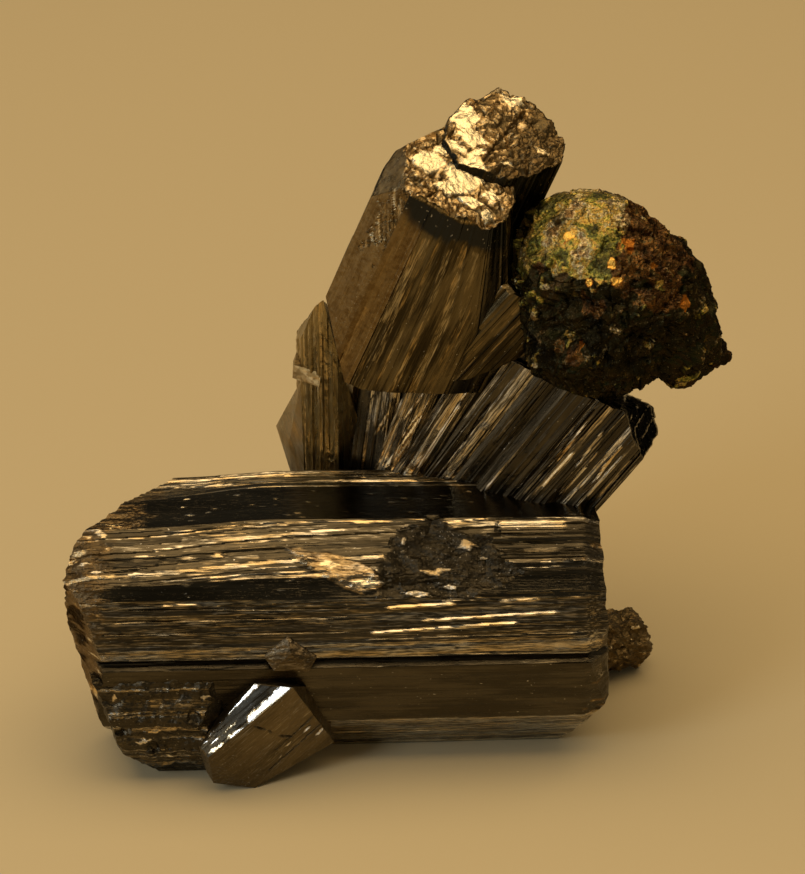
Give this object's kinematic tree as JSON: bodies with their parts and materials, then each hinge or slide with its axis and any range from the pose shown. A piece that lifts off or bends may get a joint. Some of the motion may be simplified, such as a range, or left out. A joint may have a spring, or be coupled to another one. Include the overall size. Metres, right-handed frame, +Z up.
{
  "type": "bournonite and chalcopyrite",
  "caption": "Mineral specimen: striated bournonite prisms grown together, with a rounded tarnished chalcopyrite crystal.",
  "frame": {"origin": "middle of the bottom of the bounding box, on the surface that the specimen stands on", "axes": "+X along the main prism, to the right as seen from the front, +Y to the rear, +Z up"},
  "size_m": [0.0386, 0.021, 0.0359],
  "materials": {
    "bournonite": "dark grey-brown metallic, finely striated",
    "bournonite_bright": "bright steel-grey metallic, striated",
    "bournonite_golden": "warm brown metallic, rough golden end",
    "chalcopyrite": "tarnished, green to orange and near black, pitted"
  },
  "bodies": {
    "root": {"main_prism": "bournonite", "front_prism": "bournonite_bright", "end_stub": "bournonite", "terminated_prism": "bournonite_golden", "striated_prism": "bournonite", "upright_blade": "bournonite_golden", "chalcopyrite": "chalcopyrite"}
  },
  "joints": []
}
